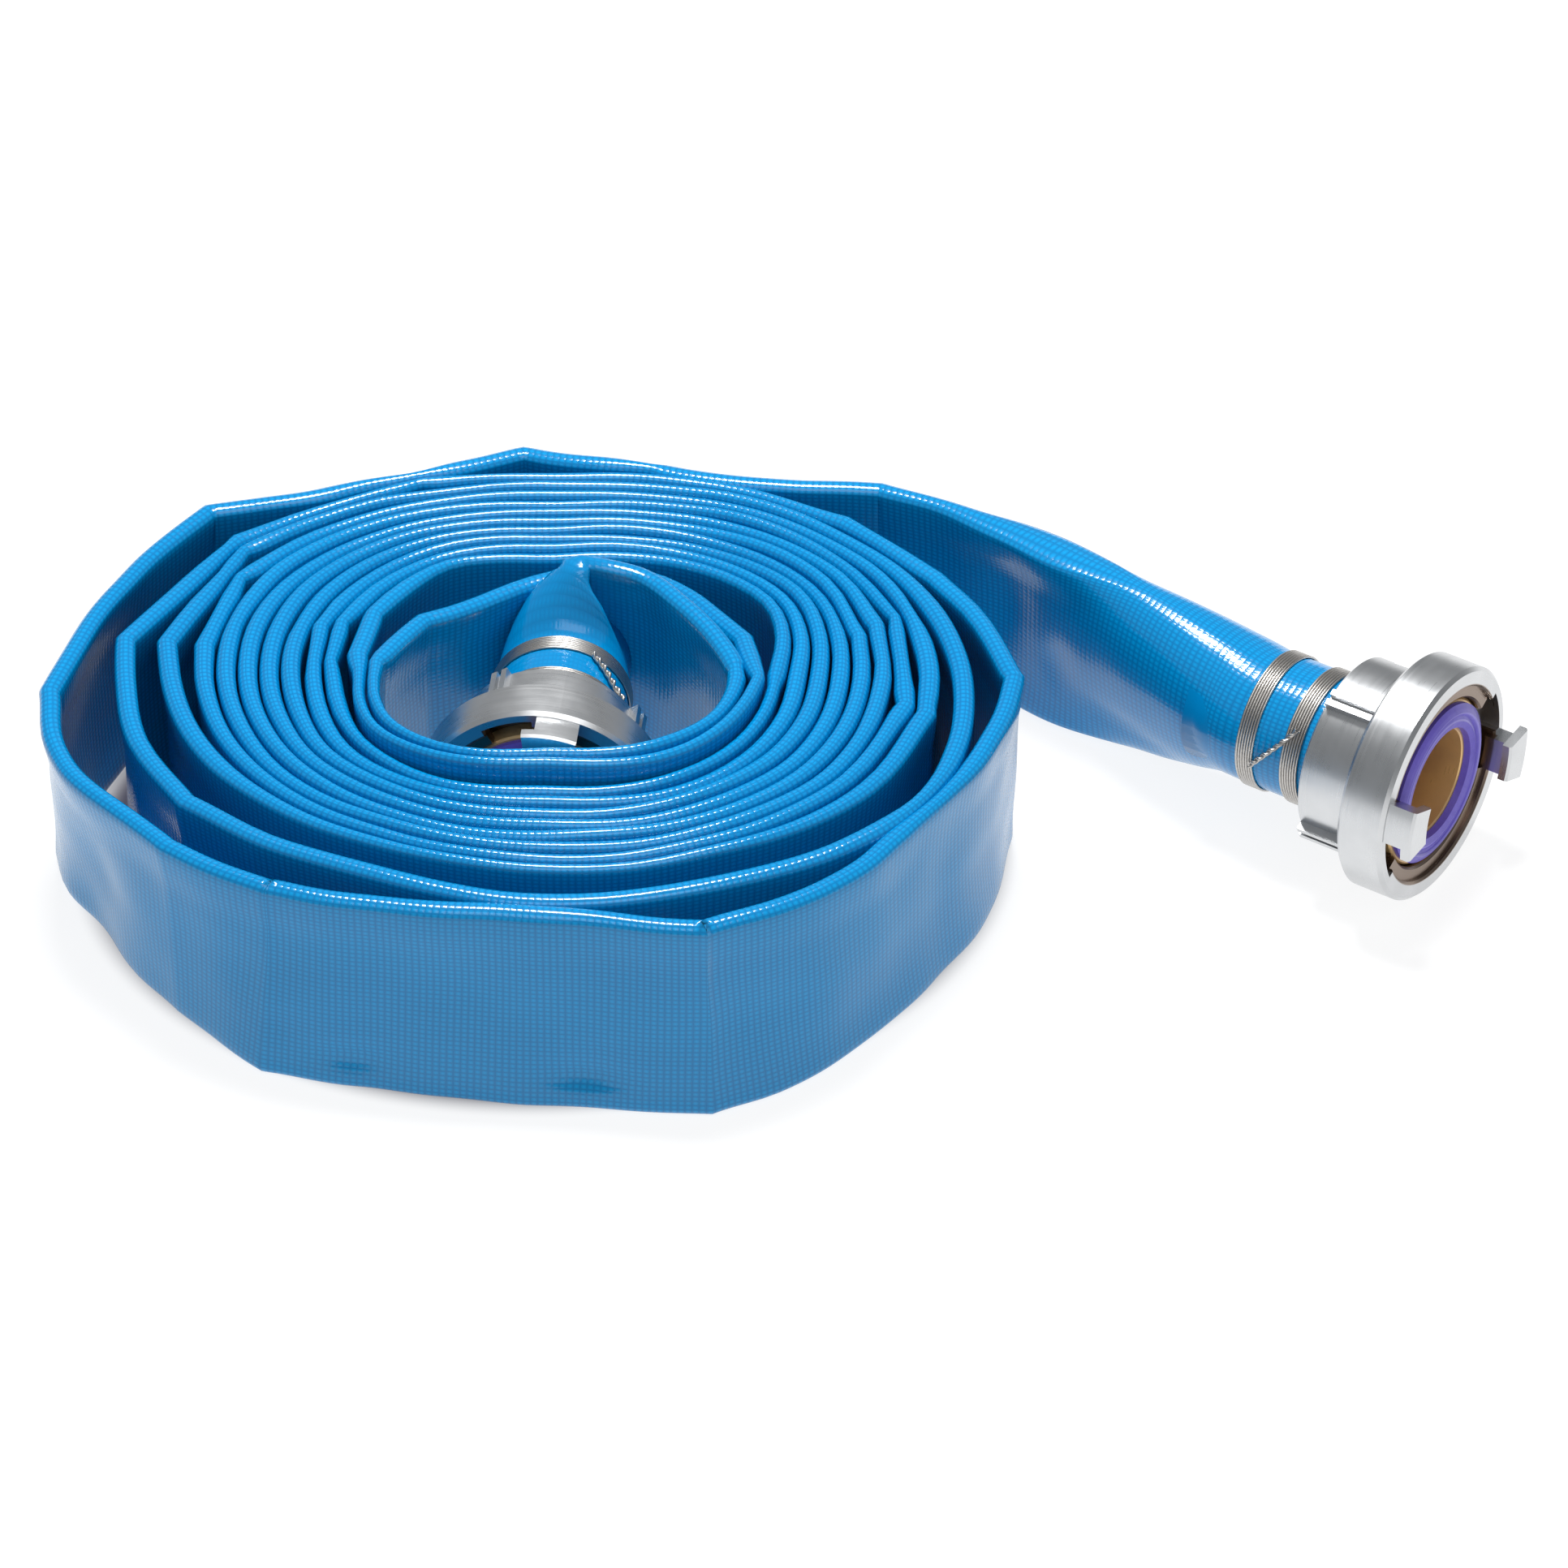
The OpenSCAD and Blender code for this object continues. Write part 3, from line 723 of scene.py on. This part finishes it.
def turn_on_lathe(finish, end, rough):
    """Fine lathe lines round the coupling's axis and a cloudy sheen, whose cloud comes back."""
    offset, depth, radius = round_axis(finish, end)
    lathe = finish.grain(finish.join(depth * 2600.0, radius * 2600.0), 1.0)
    cloud = finish.grain(offset, 70.0, 3.0)
    finish.roughness(lathe * 0.14 + cloud * 0.16 + (rough - 0.15))
    finish.relief(lathe, 0.00003)
    return cloud


def dress(node, finish):
    """Give a CAD piece its finish."""
    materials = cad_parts[node].data.materials
    materials.clear()
    materials.append(finish.material)


for end, tone in ring_tone_inner_painted_lit.items():
    clean = (tone, tone + 0.01, tone + 0.02, 1.0)
    dull = (tone - 0.12, tone - 0.11, tone - 0.10, 1.0)
    alloy = Finish(f"{end}_ring_alloy", Metallic=1.0)
    turn_on_lathe(alloy, end, 0.3)
    offset, depth, radius = round_axis(alloy, end)
    # Painted shade in the face's recess, brown as a painted reflection of the gold tail
    recess = 1.0 - alloy.step(radius, *recess_edge)
    recess = recess * alloy.step(depth, *recess_floor)
    recess = recess * (1.0 - alloy.step(depth, *recess_mouth))
    cast = alloy.mix(alloy.grain(alloy.place(), 70.0, 3.0), clean, dull)
    alloy.colour(alloy.mix(recess, cast, recess_painted_shade))
    dress(f"{end}_lug_ring", alloy)

# ---------------------------------------------------------------------------------------------
# The hose tails. Turned in aluminium and anodised gold brown, as the bore shows. The barbs
# behind the collar sit inside the hose.
# ---------------------------------------------------------------------------------------------
tail_gold = (0.92, 0.62, 0.26, 1.0)
tail_brown = (0.60, 0.38, 0.20, 1.0)
for end in ("outer", "inner"):
    bronze = Finish(f"{end}_tail_bronze", Metallic=0.45)
    cloud = turn_on_lathe(bronze, end, 0.32)
    bronze.colour(bronze.mix(cloud, tail_gold, tail_brown))
    dress(f"{end}_hose_tail", bronze)

# ---------------------------------------------------------------------------------------------
# The face seals. Moulded violet rubber, pressed into the groove of the tail, with a raised lip
# whose two edges carry a painted highlight.
# ---------------------------------------------------------------------------------------------
lip_edges = (0.0268, 0.0298)
seal_violet = (0.17, 0.125, 0.66, 1.0)
seal_shade = (0.125, 0.09, 0.52, 1.0)
seal_painted_highlight = (0.42, 0.38, 0.85, 1.0)
for end in ("outer", "inner"):
    rubber = Finish(f"{end}_seal_rubber")
    offset, depth, radius = round_axis(rubber, end)
    # Painted highlight along the two edges of the lip
    inside, outside = [
        1.0 - rubber.step(rubber.maths("ABSOLUTE", radius - edge), 0.0001, 0.0006)
        for edge in lip_edges
    ]
    speckle = rubber.grain(rubber.place(), 400.0, 3.0)
    violet = rubber.mix(speckle, seal_violet, seal_shade)
    rubber.colour(rubber.mix((inside + outside) * 0.6, violet, seal_painted_highlight))
    rubber.roughness(speckle * 0.2 + 0.26)
    rubber.relief(speckle, 0.00005)
    dress(f"{end}_face_seal", rubber)

# ---------------------------------------------------------------------------------------------
# The retaining rings. Open rings of spring steel in the collar's groove behind the lug ring's
# step.
# ---------------------------------------------------------------------------------------------
spring_grey = (0.45, 0.45, 0.46, 1.0)
spring_dark = (0.36, 0.36, 0.37, 1.0)
for end in ("outer", "inner"):
    spring = Finish(f"{end}_spring_steel", Metallic=1.0)
    cloud = turn_on_lathe(spring, end, 0.38)
    spring.colour(spring.mix(cloud, spring_grey, spring_dark))
    dress(f"{end}_retaining_ring", spring)
